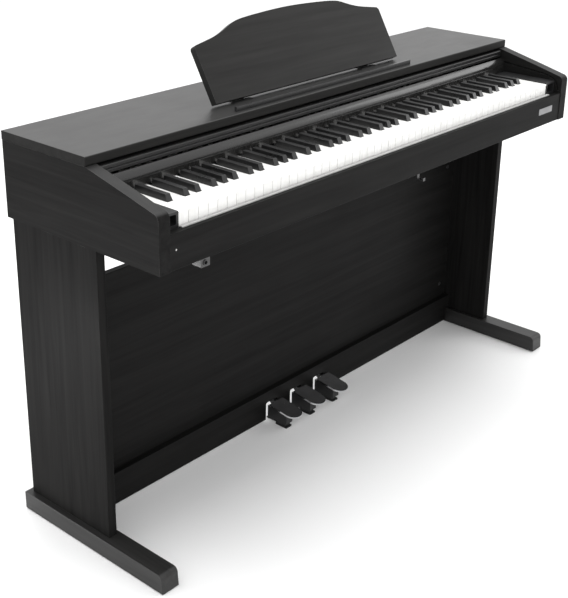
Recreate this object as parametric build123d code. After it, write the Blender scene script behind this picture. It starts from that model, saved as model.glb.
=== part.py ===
from build123d import *
import math
import os

# Digital piano on a panel stand: 88 keys, sliding key cover, folding music rest, three pedals.
# Millimetres. +Z is up, +X runs to the treble end and the player sits on the -Y side.
# Left-hand pieces are on the bass side.

# ---------------------------------------------------------------- overall envelope
FRONT_Y = -206.0
BACK_Y = 206.0
FOOT_OUTER_X = 688.0

# Amount by which fused shapes run into each other and cutting shapes run past a face.
OVERLAP = 1.0

# ---------------------------------------------------------------- stand
FOOT_WIDTH = 41.0
FOOT_BACK_Y = 200.5
FOOT_TOP_Z = 40.0
FOOT_TOE_DRAFT = 3.0
FOOT_TOE_RADIUS = 11.0
GLIDE_HEIGHT = 2.0
GLIDE_RADIUS = 12.0
GLIDE_END_INSET = 22.0
LEG_OUTER_X = 675.0
LEG_THICKNESS = 19.0
LEG_FRONT_Y = -45.0
LEG_BACK_Y = 190.5
CABINET_BOTTOM_Z = 632.5
BACK_PANEL_FRONT_Y = 84.5
BACK_PANEL_THICKNESS = 15.0
BACK_PANEL_BOTTOM_Z = 56.0
BACK_PANEL_TOP_Z = 512.0
RAIL_FRONT_Y = 70.0
RAIL_BOTTOM_Z = 6.0
RAIL_TOP_Z = 77.5
BOARD_EDGE_RADIUS = 1.0

# Angle brackets and screws of the stand.
ANGLE_LEG = 36.0
ANGLE_LENGTH = 30.0
ANGLE_THICKNESS = 2.0
ANGLE_HOLE_PART = 0.6
ANGLE_PANEL_Z = (110.0, 450.0)
ANGLE_CABINET_Y = (-12.0, 150.0)
SCREW_RADIUS = 2.0
SCREW_HEAD_RADIUS = 4.0
SCREW_HEAD_HEIGHT = 1.8
SCREW_LENGTH = 10.0
SCREW_CLEARANCE = 0.1

# ---------------------------------------------------------------- pedals
PEDAL_PITCH = 85.5
PEDAL_MIDDLE_X = 15.0
NOTCH_LEFT = 28.0
NOTCH_RIGHT = 12.5
NOTCH_TOP_Z = 50.0
NOTCH_CORNER_RADIUS = 4.0
PEDAL_PIVOT_Y = 92.0
PEDAL_PIVOT_Z = 46.0
PEDAL_ROD_RADIUS = 3.0
PIVOT_FIT = 0.05
PEDAL_HUB_RADIUS = 6.5
PEDAL_WIDTH = 46.0
PEDAL_OFFSET_X = 3.0
PEDAL_REAR_Y = 67.4
PEDAL_REAR_Z = 44.9
PEDAL_LENGTH = 75.4
PEDAL_SLOPE = 9.4
PEDAL_PLATE_THICKNESS = 4.0
PEDAL_PLATE_EDGE = 1.4
LEVER_THICKNESS = 3.0
LEVER_FRONT_SETBACK = 21.5
LUG_X = (2.0, 11.5)
# Side outline of the lug, front to back, between the lever slab and the hub.
LUG_OUTLINE = (
    (67.5, 40.0),
    (59.0, 38.0),
    (59.0, 34.0),
    (80.0, 32.5),
    (92.0, 41.0),
    (88.0, 48.0),
    (84.5, 38.0),
    (72.0, 43.0),
    (69.5, 43.0),
)
SKIRT_LEFT_X = -19.0
SKIRT_WIDTH = 21.0
SKIRT_WALL = 1.5
SKIRT_FRONT_Y = 14.5
SKIRT_BEND_Y = 46.0
SKIRT_BACK_Y = 72.3
SKIRT_FRONT_BOTTOM_Z = 11.0
SKIRT_BACK_BOTTOM_Z = 6.0

# Fixed posts under the pedals, each with a floor foot and an arm to the underside of the rail.
POST_CLEARANCE = 0.7
POST_FRONT_Y = 21.0
POST_BACK_Y = 45.0
POST_TOP_Z = 19.0
POST_FOOT_HEIGHT = 2.3
POST_FOOT_BACK_Y = 50.0
POST_CORNER_RADIUS = 4.0
ARM_X = (-10.0, -1.0)
ARM_PAD_X = (16.0, 25.0)
ARM_FRONT_Y = 75.0
ARM_BACK_Y = 84.0
BEARING_WIDTH = 9.0
BEARING_BELOW = 9.0
BEARING_ABOVE = 7.0
BEARING_BACK_Y = 98.0
SPRING_WIRE_RADIUS = 0.8
SPRING_COIL_RADIUS = 5.2
SPRING_PITCH = 1.9
SPRING_TURNS = 3
SPRING_OFFSET_X = 14.5

# ---------------------------------------------------------------- cabinet
CHEEK_INNER_X = 650.0
CHEEK_OUTER_X = 676.0
CHEEK_BACK_Y = 205.0
CHEEK_KNEE = (-133.0, 755.5)
CHEEK_NOSE = (-206.0, 736.7)
CHEEK_NOSE_RADIUS = 13.0
LID_FRONT_Y = -27.5
LID_BOTTOM_Z = 781.5
LID_TOP_Z = 799.0
LID_EDGE_RADIUS = 2.5
KEYBED_FRONT_Y = -188.0
KEYBED_BACK_Y = 190.0
KEYBED_TOP_Z = 648.0
CABINET_BACK_Y = 204.0
SLIP_FRONT_Y = -204.5
SLIP_TOP_Z = 698.5
SLIP_EDGE_RADIUS = 1.5
FELT_FRONT_Y = -195.5
FELT_BACK_Y = -188.0
FELT_TOP_Z = 700.5
FELT_RADIUS = 0.8
FASCIA_BACK_Y = -33.0
FASCIA_BOTTOM_Z = 726.0
FASCIA_STEP_Z = 740.5
FASCIA_STEP = 1.6
MOULDING_TOP_Z = 758.0
MOULDING_TOP_Y = -36.0

# Guide groove in each cheek for the cover's leading pins: straight run, then a drop at the front.
GROOVE_WIDTH = 4.5
GROOVE_DEPTH = 4.0
GROOVE_START = (-30.0, 751.0)
GROOVE_BEND = (-150.0, 739.5)
GROOVE_END = (-196.5, 703.0)
GROOVE_PULL_FORWARD = 0.75
GROOVE_PULL_UP = 0.55
GROOVE_SAG = 3.5

# Straight slot in each cheek for the cover carriage.
TRACK_FRONT_Y = -25.0
TRACK_BACK_Y = 172.0
TRACK_BOTTOM_Z = 768.5
TRACK_TOP_Z = 779.5
TRACK_DEPTH = 5.0

# ---------------------------------------------------------------- key cover
COVER_HALF_WIDTH = 646.0
COVER_HINGE_Y = 150.0
COVER_HINGE_Z = 774.0
COVER_THICKNESS = 6.0
COVER_ROD_RADIUS = 2.0
COVER_KNUCKLE_RADIUS = 4.5
COVER_KNUCKLE_WIDTH = 40.0
COVER_KNUCKLE_GAP = 0.5
COVER_KNUCKLE_X = (-520.0, -173.0, 173.0, 520.0)
COVER_HINGE_SETBACK = 5.5
CARRIAGE_FRONT_GAP = 5.5
CARRIAGE_DEPTH = 12.0
CARRIAGE_HEIGHT = 8.0
SHOE_HEIGHT = 10.0
SHOE_LENGTH = 14.0
SHOE_LEAD = 2.0
SHOE_ROOT = 6.0
SHOE_REACH = 3.5
HANDLE_FRONT_Y = -34.0
HANDLE_BACK_Y = -28.0
HANDLE_BOTTOM_Z = 761.0
HANDLE_GROOVE_Z = 769.0
HANDLE_GROOVE = 1.2
HANDLE_RADIUS = 1.8

# ---------------------------------------------------------------- keyboard
NATURAL_COUNT = 52
NATURAL_PITCH = 23.5
KEYS_LEFT_X = -611.0
NATURAL_GAP = 1.0
NATURAL_LETTERS = "ABCDEFG"
SHARP_OFFSET = {"C": 14.37, "D": 18.93, "F": 13.23, "G": 16.65, "A": 20.10}
SHARP_WIDTH = 13.7
SHARP_GAP = 0.7
KEY_TOP_Z = 724.0
KEY_BOTTOM_Z = 704.0
KEY_FRONT_Y = -186.2
KEY_LIP = 1.2
KEY_LIP_HEIGHT = 2.7
KEY_APRON_BOTTOM_Z = 694.0
KEY_APRON_THICKNESS = 4.0
KEY_EDGE_RADIUS = 1.0
HEAD_REAR_Y = -139.0
KEY_REAR_Y = 52.0
SHARP_FRONT_Y = -137.5
SHARP_FRONT_RUN = 6.5
SHARP_REAR_Y = -54.0
SHARP_BODY_TOP_Z = 722.0
SHARP_TOP_Z = 736.0
SHARP_SIDE_TAPER = 1.6
SHARP_EDGE_RADIUS = 0.8
KEY_HINGE_Y = 40.0
KEY_HINGE_Z = 712.0
KEY_ROD_RADIUS = 2.5
MIDDLE_OCTAVE_START = 23
MIDDLE_OCTAVE = 4

# Steel chassis under the keys.
FRAME_SHEET = 2.0
FRAME_HALF_WIDTH = 618.0
FRAME_FRONT_Y = -178.0
FRAME_BACK_Y = 70.0
FRAME_FENCE_TOP_Z = 688.0
FRAME_FENCE_DEPTH = 18.0
FRAME_SHELF_FRONT_Y = -47.0
FRAME_SHELF_BACK_Y = -5.0
FRAME_SHELF_TOP_Z = 684.0
FRAME_CHEEK_INNER_X = 613.0
FRAME_CHEEK_FRONT_Y = 28.0
FRAME_CHEEK_TOP_Z = 720.0

# ---------------------------------------------------------------- end blocks and controls
BLOCK_INNER_X = 612.0
BLOCK_FRONT_Y = -186.0
BLOCK_BACK_Y = -46.5
BLOCK_TOP_Z = 726.0
BLOCK_EDGE_RADIUS = 1.5
PEDESTAL_INSET = 8.0
RECESS_INNER_X = 617.0
RECESS_OUTER_X = 645.0
RECESS_BOTTOM_Z = 702.5
RECESS_TOP_Z = 721.5
RECESS_DEPTH = 22.0
RECESS_CORNER_RADIUS = 3.0
CONTROL_X = 631.0
CONTROL_Z = 712.0
BUTTON_RADIUS = 5.0
BUTTON_GAP = 0.4
BUTTON_PROUD = 10.0
BUTTON_LENGTH = 18.0
BUTTON_BORE_DEPTH = 12.0
BUTTON_EDGE_RADIUS = 1.0
KNOB_RADIUS = 7.0
KNOB_LENGTH = 12.0
KNOB_SETBACK = 1.0
KNOB_SHAFT_RADIUS = 3.0
KNOB_SHAFT_LENGTH = 10.0
KNOB_MARK_WIDTH = 1.2
KNOB_MARK_DEPTH = 0.6
LED_X = -636.0
LED_Z = 668.5
LED_RADIUS = 1.5
LED_LENGTH = 4.0
LED_PROUD = 0.4
BADGE_X = (553.0, 614.0)
BADGE_Z = (661.0, 676.0)
BADGE_THICKNESS = 0.7

# Headphone box and hook under the keybed.
JACK_RADIUS = 3.2
JACK_DEPTH = 17.0
JACK_COLLAR_RADIUS = 5.5
JACK_COLLAR_HEIGHT = 1.2
PHONES_X = (-578.0, -555.0)
PHONES_FRONT_Y = -202.5
PHONES_BACK_Y = -182.0
PHONES_BOTTOM_Z = 616.5
PHONES_RADIUS = 2.0
PHONES_JACK_Z = 624.5
HOOK_X = (81.0, 89.0)
HOOK_FRONT_Y = -204.0
HOOK_BACK_Y = -186.0
HOOK_BOTTOM_Z = 612.0
HOOK_LIP_Z = 619.0
HOOK_THICKNESS = 3.0

# Socket panel let into the cabinet back.
SOCKETS_X = (-430.0, -290.0)
SOCKETS_Z = (655.0, 695.0)
SOCKETS_FACE_Y = 201.5
INLET_X = -412.0
INLET_RADIUS = 2.8
INLET_DEPTH = 9.5
LINE_OUT_X = (-385.0, -362.0)
LINE_OUT_DEPTH = 10.5
DATA_SOCKET_X = -328.0
DATA_SOCKET_SIZE = 12.2
DATA_SOCKET_DEPTH = 9.0
SOCKET_Z = 675.0

# ---------------------------------------------------------------- speakers and boards
SPEAKER_X = 430.0
SPEAKER_Y = 130.0
SPEAKER_RADIUS = 58.0
SPEAKER_FLANGE = 3.0
SPEAKER_CONE_RADIUS = 46.0
SPEAKER_NECK_RADIUS = 22.0
SPEAKER_NECK_Z = 684.0
SPEAKER_MAGNET_RADIUS = 32.0
SPEAKER_TOP_Z = 702.0
SPEAKER_WALL = 2.0
SLOT_COUNT = 7
SLOT_PITCH = 12.0
SLOT_WIDTH = 5.0
SLOT_CIRCLE_RADIUS = 44.0
PCB_THICKNESS = 1.6
MAIN_PCB_X = (-110.0, 110.0)
MAIN_PCB_Y = (84.0, 176.0)
MAIN_PCB_Z = 656.0
STANDOFF_RADIUS = 3.0
STANDOFF_INSET = 8.0
# Chips and transformer: left X, front Y, width, depth, height.
CHIP_LAYOUT = (
    (-60.0, 115.0, 36.0, 30.0, 3.0),
    (10.0, 140.0, 22.0, 22.0, 2.0),
    (70.0, 115.0, 30.0, 40.0, 14.0),
)
CONTACT_PCB_HALF_X = 606.0
CONTACT_PCB_Y = (-42.0, -12.0)
CONTACT_DOME_RADIUS = 3.0
CONTACT_DOME_HEIGHT = 8.0

# ---------------------------------------------------------------- music rest
REST_BASE_Y = 31.8
REST_BASE_Z = 808.0
REST_TILT = 30.0
REST_THICKNESS = 14.0
REST_HALF_WIDTH = 297.0
REST_SIDE_HEIGHT = 112.5
REST_CORNER = ((294.6, 118.8), (288.0, 121.8))
REST_CREST = ((262.0, 126.2), (229.0, 132.6), (197.0, 142.6), (168.0, 153.0), (146.0, 156.6), (99.0, 160.0))
REST_CREST_TOP = 163.2
LEDGE_HALF_WIDTH = 287.0
LEDGE_FRONT_Y = -13.0
LEDGE_BACK_Y = -7.0
LEDGE_TOP_Z = 808.0
LEDGE_RADIUS = 1.0
REST_HINGE_X = (-217.0, 193.0)
REST_HINGE_Y = 50.0
REST_HINGE_Z = 804.5
REST_PIN_RADIUS = 1.5
REST_BARREL_RADIUS = 3.0
REST_BARREL_LENGTH = 22.0
REST_EAR_THICKNESS = 3.0
REST_EAR_GAP = 0.3
REST_PLATE_WIDTH = 50.0
REST_PLATE_THICKNESS = 1.5
REST_PLATE_Y = (32.5, 64.0)
REST_ARM_LOW = 12.0
REST_ARM_HIGH = 46.0
REST_NECK_DROP = 3.0
REST_NECK_LENGTH = 8.0
REST_SCREW_OFFSET_X = 12.0
REST_SCREW_Y = (37.5, 59.0)
REST_SCREW_LENGTH = 9.0
REST_SCREW_RADIUS = 1.5
REST_SCREW_HEAD_RADIUS = 3.4
REST_SCREW_HEAD_HEIGHT = 1.2

LEG_INNER_X = LEG_OUTER_X - LEG_THICKNESS
FOOT_INNER_X = FOOT_OUTER_X - FOOT_WIDTH
FOOT_CENTRE_X = FOOT_OUTER_X - FOOT_WIDTH / 2
BACK_PANEL_BACK_Y = BACK_PANEL_FRONT_Y + BACK_PANEL_THICKNESS
RECESS_BACK_Y = BLOCK_FRONT_Y + RECESS_DEPTH
PEDAL_CENTRES = {
    "soft_pedal": PEDAL_MIDDLE_X - PEDAL_PITCH,
    "sostenuto_pedal": PEDAL_MIDDLE_X,
    "damper_pedal": PEDAL_MIDDLE_X + PEDAL_PITCH,
}


# ---------------------------------------------------------------- shared shapes
def block(x0, x1, y0, y1, z0, z1):
    """Rectangular block between two opposite corners."""
    centre = Pos((x0 + x1) / 2, (y0 + y1) / 2, (z0 + z1) / 2)
    return centre * Box(abs(x1 - x0), abs(y1 - y0), abs(z1 - z0))


def slab_x(points, x0, x1):
    """Closed (y, z) outline run along X from x0 to x1."""
    outline = make_face(Polyline(*points, close=True))
    return extrude(Plane.YZ.offset(x0) * outline, x1 - x0)


def rod_x(radius, x0, x1, y, z):
    """Round bar along X."""
    return Pos((x0 + x1) / 2, y, z) * Rot(0, 90, 0) * Cylinder(radius, abs(x1 - x0))


def rod_y(radius, y0, y1, x, z):
    """Round bar along Y."""
    return Pos(x, (y0 + y1) / 2, z) * Rot(90, 0, 0) * Cylinder(radius, abs(y1 - y0))


def rod_z(radius, z0, z1, x, y):
    """Round bar along Z."""
    return Pos(x, y, (z0 + z1) / 2) * Cylinder(radius, abs(z1 - z0))


def edges_along(shape, axis):
    """Straight edges of a shape that run along an axis."""
    return shape.edges().filter_by(axis)


def mirror_left(shape):
    """The bass-side twin of a treble-side piece."""
    return mirror(shape, about=Plane.YZ)


def gather(*shapes):
    """Several loose solids kept as one node."""
    return Compound([solid for shape in shapes for solid in shape.solids()])


# ---------------------------------------------------------------- stand
def leg_panel():
    panel = block(LEG_INNER_X, LEG_OUTER_X, LEG_FRONT_Y, LEG_BACK_Y, FOOT_TOP_Z, CABINET_BOTTOM_Z)
    panel = fillet(edges_along(panel, Axis.Z), BOARD_EDGE_RADIUS)
    for drill in angle_screws("leg", SCREW_RADIUS + SCREW_CLEARANCE):
        panel -= drill
    return panel


def foot():
    points = (
        (FRONT_Y, GLIDE_HEIGHT),
        (FRONT_Y + FOOT_TOE_DRAFT, FOOT_TOP_Z),
        (FOOT_BACK_Y, FOOT_TOP_Z),
        (FOOT_BACK_Y, GLIDE_HEIGHT),
    )
    body = slab_x(points, FOOT_INNER_X, FOOT_OUTER_X)
    toe = edges_along(body, Axis.X).group_by(Axis.Z)[-1].sort_by(Axis.Y)[0]
    body = fillet(toe, FOOT_TOE_RADIUS)
    long_edges = edges_along(body, Axis.Y).group_by(Axis.Z)[-1]
    return fillet(long_edges, BOARD_EDGE_RADIUS)


def foot_glides():
    glides = []
    for side in (-1, 1):
        for y in (FRONT_Y + GLIDE_END_INSET, FOOT_BACK_Y - GLIDE_END_INSET):
            glides.append(rod_z(GLIDE_RADIUS, 0, GLIDE_HEIGHT, side * FOOT_CENTRE_X, y))
    return gather(*glides)


def back_panel():
    panel = block(
        -LEG_INNER_X,
        LEG_INNER_X,
        BACK_PANEL_FRONT_Y,
        BACK_PANEL_BACK_Y,
        BACK_PANEL_BOTTOM_Z,
        BACK_PANEL_TOP_Z,
    )
    panel = fillet(edges_along(panel, Axis.X), BOARD_EDGE_RADIUS)
    for drill in angle_screws("panel", SCREW_RADIUS + SCREW_CLEARANCE):
        panel -= drill
        panel -= mirror_left(drill)
    return panel


def pedal_rail():
    rail = block(-LEG_INNER_X, LEG_INNER_X, RAIL_FRONT_Y, BACK_PANEL_FRONT_Y, RAIL_BOTTOM_Z, RAIL_TOP_Z)
    rail = fillet(edges_along(rail, Axis.X).group_by(Axis.Z)[-1], BOARD_EDGE_RADIUS)
    for x in PEDAL_CENTRES.values():
        notch = block(
            x - NOTCH_LEFT,
            x + NOTCH_RIGHT,
            RAIL_FRONT_Y - OVERLAP,
            BACK_PANEL_FRONT_Y + OVERLAP,
            RAIL_BOTTOM_Z - NOTCH_CORNER_RADIUS,
            NOTCH_TOP_Z,
        )
        notch = fillet(edges_along(notch, Axis.Y).group_by(Axis.Z)[-1], NOTCH_CORNER_RADIUS)
        rail -= notch
    for side in (-1, 1):
        rail -= block(
            side * FOOT_INNER_X,
            side * (LEG_INNER_X + OVERLAP),
            RAIL_FRONT_Y - OVERLAP,
            BACK_PANEL_FRONT_Y + OVERLAP,
            RAIL_BOTTOM_Z - OVERLAP,
            FOOT_TOP_Z,
        )
    return rail


def angle_origins():
    """Inside corner of each right-hand angle bracket, with the way it faces."""
    behind_panel = [("panel", LEG_INNER_X, BACK_PANEL_BACK_Y, z) for z in ANGLE_PANEL_Z]
    under_cabinet = [("cabinet", LEG_INNER_X, y, CABINET_BOTTOM_Z) for y in ANGLE_CABINET_Y]
    return behind_panel + under_cabinet


def angle_bracket(kind, x, y, z):
    """Folded steel angle lying against a leg and a board."""
    t, reach, half = ANGLE_THICKNESS, ANGLE_LEG, ANGLE_LENGTH / 2
    if kind == "panel":
        on_leg = block(x - t, x, y, y + reach, z - half, z + half)
        on_board = block(x - reach, x, y, y + t, z - half, z + half)
    else:
        on_leg = block(x - t, x, y - half, y + half, z - reach, z)
        on_board = block(x - reach, x, y - half, y + half, z - t, z)
    bracket = on_leg + on_board
    for drill in bracket_screws(kind, x, y, z, SCREW_RADIUS + SCREW_CLEARANCE, False):
        bracket -= drill[1]
    return bracket


def bracket_screws(kind, x, y, z, radius, with_head):
    """The two screws of one bracket, as (board they enter, solid)."""
    t, mid = ANGLE_THICKNESS, ANGLE_LEG * ANGLE_HOLE_PART
    inner_x = x - t
    if kind == "panel":
        leg_screw = rod_x(radius, inner_x, inner_x + SCREW_LENGTH, y + mid, z)
        leg_head = rod_x(SCREW_HEAD_RADIUS, inner_x - SCREW_HEAD_HEIGHT, inner_x, y + mid, z)
        face = y + t
        board_screw = rod_y(radius, face - SCREW_LENGTH, face, x - mid, z)
        board_head = rod_y(SCREW_HEAD_RADIUS, face, face + SCREW_HEAD_HEIGHT, x - mid, z)
    else:
        leg_screw = rod_x(radius, inner_x, inner_x + SCREW_LENGTH, y, z - mid)
        leg_head = rod_x(SCREW_HEAD_RADIUS, inner_x - SCREW_HEAD_HEIGHT, inner_x, y, z - mid)
        face = z - t
        board_screw = rod_z(radius, face, face + SCREW_LENGTH, x - mid, y)
        board_head = rod_z(SCREW_HEAD_RADIUS, face - SCREW_HEAD_HEIGHT, face, x - mid, y)
    if with_head:
        return [("leg", leg_screw + leg_head), (kind, board_screw + board_head)]
    return [("leg", leg_screw), (kind, board_screw)]


def angle_screws(board, radius):
    """Plain holes that the bracket screws need in a leg, the back panel or the keybed."""
    holes = []
    for origin in angle_origins():
        holes += [hole for target, hole in bracket_screws(*origin, radius, False) if target == board]
    return holes


def stand_fixings():
    pieces = []
    for origin in angle_origins():
        bracket = angle_bracket(*origin)
        screws = [screw for _, screw in bracket_screws(*origin, SCREW_RADIUS, True)]
        for piece in [bracket] + screws:
            pieces.append(piece)
            pieces.append(mirror_left(piece))
    return gather(*pieces)


def build_stand():
    right_leg = leg_panel()
    right_foot = foot()
    return {
        "left_leg_panel": mirror_left(right_leg),
        "right_leg_panel": right_leg,
        "left_foot": mirror_left(right_foot),
        "right_foot": right_foot,
        "foot_glides": foot_glides(),
        "back_panel": back_panel(),
        "pedal_rail": pedal_rail(),
        "stand_fixings": stand_fixings(),
    }


# ---------------------------------------------------------------- pedals
def pedal_plane(drop):
    """Plane on the pedal's top face, moved down by drop; local Y runs to the tip."""
    slope = math.radians(PEDAL_SLOPE)
    normal = (0, -math.sin(slope), math.cos(slope))
    return Plane(origin=(0, PEDAL_REAR_Y, PEDAL_REAR_Z), x_dir=(-1, 0, 0), z_dir=normal).offset(-drop)


def pedal_plate(x):
    """Chrome plate with a half-round tip."""
    half = PEDAL_WIDTH / 2
    straight = PEDAL_LENGTH - half
    outline = Pos(0, straight / 2) * Rectangle(PEDAL_WIDTH, straight) + Pos(0, straight) * Circle(half)
    plate = extrude(pedal_plane(PEDAL_PLATE_THICKNESS) * outline, PEDAL_PLATE_THICKNESS)
    rim = plate.faces().sort_by(Axis.Z)[-1].edges()
    plate = fillet(rim, PEDAL_PLATE_EDGE)
    return Pos(x + PEDAL_OFFSET_X, 0, 0) * plate


def under_plate_z(y):
    """Height of the underside of a lever's slab at rest."""
    fall = (PEDAL_REAR_Y - y) * math.tan(math.radians(PEDAL_SLOPE))
    return PEDAL_REAR_Z - fall - PEDAL_PLATE_THICKNESS - LEVER_THICKNESS


def pedal_skirt():
    """Hollow skirt under the left half of the plate, open below and behind."""
    right = SKIRT_LEFT_X + SKIRT_WIDTH
    outline = (
        (SKIRT_FRONT_Y, under_plate_z(SKIRT_FRONT_Y) + OVERLAP),
        (SKIRT_FRONT_Y, SKIRT_FRONT_BOTTOM_Z),
        (SKIRT_BEND_Y, SKIRT_FRONT_BOTTOM_Z),
        (SKIRT_BACK_Y, SKIRT_BACK_BOTTOM_Z),
        (SKIRT_BACK_Y, under_plate_z(SKIRT_BACK_Y) + OVERLAP),
    )
    skirt = slab_x(outline, SKIRT_LEFT_X, right)
    inner_y = SKIRT_FRONT_Y + SKIRT_WALL
    open_y = SKIRT_BACK_Y + OVERLAP
    hollow = (
        (inner_y, under_plate_z(inner_y)),
        (inner_y, 0),
        (open_y, 0),
        (open_y, under_plate_z(open_y)),
    )
    return skirt - slab_x(hollow, SKIRT_LEFT_X + SKIRT_WALL, right - SKIRT_WALL)


def pedal_lug():
    """Cheek of the lever that runs back through the rail to the round pivot hub."""
    hub = rod_x(PEDAL_HUB_RADIUS, *LUG_X, PEDAL_PIVOT_Y, PEDAL_PIVOT_Z)
    return slab_x(LUG_OUTLINE, *LUG_X) + hub


def pivot_bore(x0, x1):
    """Running hole for the pedal rod between two X positions."""
    return rod_x(PEDAL_ROD_RADIUS + PIVOT_FIT, x0, x1, PEDAL_PIVOT_Y, PEDAL_PIVOT_Z)


def pedal_lever(x):
    """Black lever: slab and skirt under the plate, side lug back to the pivot hub."""
    reach = PEDAL_LENGTH - LEVER_FRONT_SETBACK
    outline = Pos(0, reach / 2) * Rectangle(PEDAL_WIDTH, reach)
    slab = extrude(pedal_plane(PEDAL_PLATE_THICKNESS + LEVER_THICKNESS) * outline, LEVER_THICKNESS)
    lever = Pos(PEDAL_OFFSET_X, 0, 0) * slab + pedal_skirt() + pedal_lug()
    return Pos(x, 0, 0) * (lever - pivot_bore(LUG_X[0] - OVERLAP, LUG_X[1] + OVERLAP))


def pedal_post(x):
    """Floor post inside the skirt, with a low arm back to a pad under the rail."""
    inset = SKIRT_WALL + POST_CLEARANCE
    left = SKIRT_LEFT_X
    right = SKIRT_LEFT_X + SKIRT_WIDTH
    core = block(left + inset, right - inset, POST_FRONT_Y, POST_BACK_Y, 0, POST_TOP_Z)
    foot = block(left, right, SKIRT_FRONT_Y, POST_FOOT_BACK_Y, 0, POST_FOOT_HEIGHT)
    foot = fillet(edges_along(foot, Axis.Z), POST_CORNER_RADIUS)
    arm = block(*ARM_X, POST_FOOT_BACK_Y - OVERLAP, ARM_BACK_Y, 0, POST_FOOT_HEIGHT)
    arm += block(ARM_X[0], ARM_PAD_X[1], ARM_FRONT_Y, ARM_BACK_Y, 0, POST_FOOT_HEIGHT)
    pad = block(*ARM_PAD_X, ARM_FRONT_Y, ARM_BACK_Y, 0, RAIL_BOTTOM_Z)
    return Pos(x, 0, 0) * (core + foot + arm + pad)


def pedal_pivot_rod():
    """Common rod carried by four bearing blocks on the back of the rail."""
    middle = PEDAL_MIDDLE_X
    blocks_x = [middle + step * PEDAL_PITCH for step in (-1.5, -0.5, 0.5, 1.5)]
    end = BEARING_WIDTH / 2 + OVERLAP
    x0, x1 = blocks_x[0] - end, blocks_x[-1] + end
    pieces = [rod_x(PEDAL_ROD_RADIUS, x0, x1, PEDAL_PIVOT_Y, PEDAL_PIVOT_Z)]
    for x in blocks_x:
        bearing = block(
            x - BEARING_WIDTH / 2,
            x + BEARING_WIDTH / 2,
            BACK_PANEL_FRONT_Y,
            BEARING_BACK_Y,
            PEDAL_PIVOT_Z - BEARING_BELOW,
            PEDAL_PIVOT_Z + BEARING_ABOVE,
        )
        pieces.append(bearing - pivot_bore(x0 - OVERLAP, x1 + OVERLAP))
    return gather(*pieces)


def pedal_spring(x):
    """Return coil round the rod beside the lug."""
    height = SPRING_PITCH * SPRING_TURNS
    coil_path = Helix(pitch=SPRING_PITCH, height=height, radius=SPRING_COIL_RADIUS)
    section = Plane(origin=coil_path @ 0, z_dir=coil_path % 0) * Circle(SPRING_WIRE_RADIUS)
    coil = sweep(section, path=coil_path, is_frenet=True)
    return Pos(x + SPRING_OFFSET_X, PEDAL_PIVOT_Y, PEDAL_PIVOT_Z) * Rot(0, 90, 0) * coil


def build_pedals():
    parts = {}
    for name, x in PEDAL_CENTRES.items():
        parts[name] = pedal_lever(x)
        parts[name + "_plate"] = pedal_plate(x)
    parts["pedal_posts"] = gather(*[pedal_post(x) for x in PEDAL_CENTRES.values()])
    parts["pedal_pivot_rod"] = pedal_pivot_rod()
    parts["pedal_springs"] = gather(*[pedal_spring(x) for x in PEDAL_CENTRES.values()])
    return parts


# ---------------------------------------------------------------- cabinet
def groove_cut():
    """Cover-pin groove in the inner face of the right cheek."""
    half = GROOVE_WIDTH / 2
    start_y, start_z = GROOVE_START
    bend_y, bend_z = GROOVE_BEND
    end_y, end_z = GROOVE_END
    edges = []
    for offset in (-half, half):
        bend = (bend_y, bend_z + offset)
        end = (end_y - offset, end_z)
        pull_y = bend_y + (end_y - bend_y) * GROOVE_PULL_FORWARD
        pull_z = end_z + (bend_z - end_z) * GROOVE_PULL_UP
        pull_bend = (pull_y - offset, bend_z - GROOVE_SAG + offset)
        pull_end = (end_y - offset, pull_z + offset)
        edges.append(Line((start_y, start_z + offset), bend))
        edges.append(Bezier(bend, pull_bend, pull_end, end))
    edges.append(Line((start_y, start_z - half), (start_y, start_z + half)))
    edges.append(Line((end_y + half, end_z), (end_y - half, end_z)))
    outline = make_face(Curve() + edges)
    return extrude(Plane.YZ.offset(CHEEK_INNER_X - OVERLAP) * outline, GROOVE_DEPTH + OVERLAP)


def cheek():
    points = (
        (CHEEK_BACK_Y, CABINET_BOTTOM_Z),
        (CHEEK_BACK_Y, LID_BOTTOM_Z),
        (LID_FRONT_Y, LID_BOTTOM_Z),
        CHEEK_KNEE,
        CHEEK_NOSE,
        (FRONT_Y, CABINET_BOTTOM_Z),
    )
    side = slab_x(points, CHEEK_INNER_X, CHEEK_OUTER_X)
    front_edges = edges_along(side, Axis.X).filter_by_position(Axis.Y, FRONT_Y - OVERLAP, FRONT_Y + OVERLAP)
    side = fillet(front_edges.sort_by(Axis.Z)[-1], CHEEK_NOSE_RADIUS)
    side -= groove_cut()
    return side - block(
        CHEEK_INNER_X - OVERLAP,
        CHEEK_INNER_X + TRACK_DEPTH,
        TRACK_FRONT_Y,
        TRACK_BACK_Y,
        TRACK_BOTTOM_Z,
        TRACK_TOP_Z,
    )


def top_lid():
    lid = block(-CHEEK_OUTER_X, CHEEK_OUTER_X, LID_FRONT_Y, BACK_Y, LID_BOTTOM_Z, LID_TOP_Z)
    lid = fillet(edges_along(lid, Axis.X).group_by(Axis.Y)[0], LID_EDGE_RADIUS)
    lid = fillet(edges_along(lid, Axis.Y).group_by(Axis.Z)[-1], BOARD_EDGE_RADIUS)
    for x, y in rest_screw_places():
        bottom = LID_TOP_Z + REST_PLATE_THICKNESS - REST_SCREW_LENGTH - OVERLAP
        lid -= rod_z(REST_SCREW_RADIUS + SCREW_CLEARANCE, bottom, LID_TOP_Z + OVERLAP, x, y)
    return lid


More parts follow.
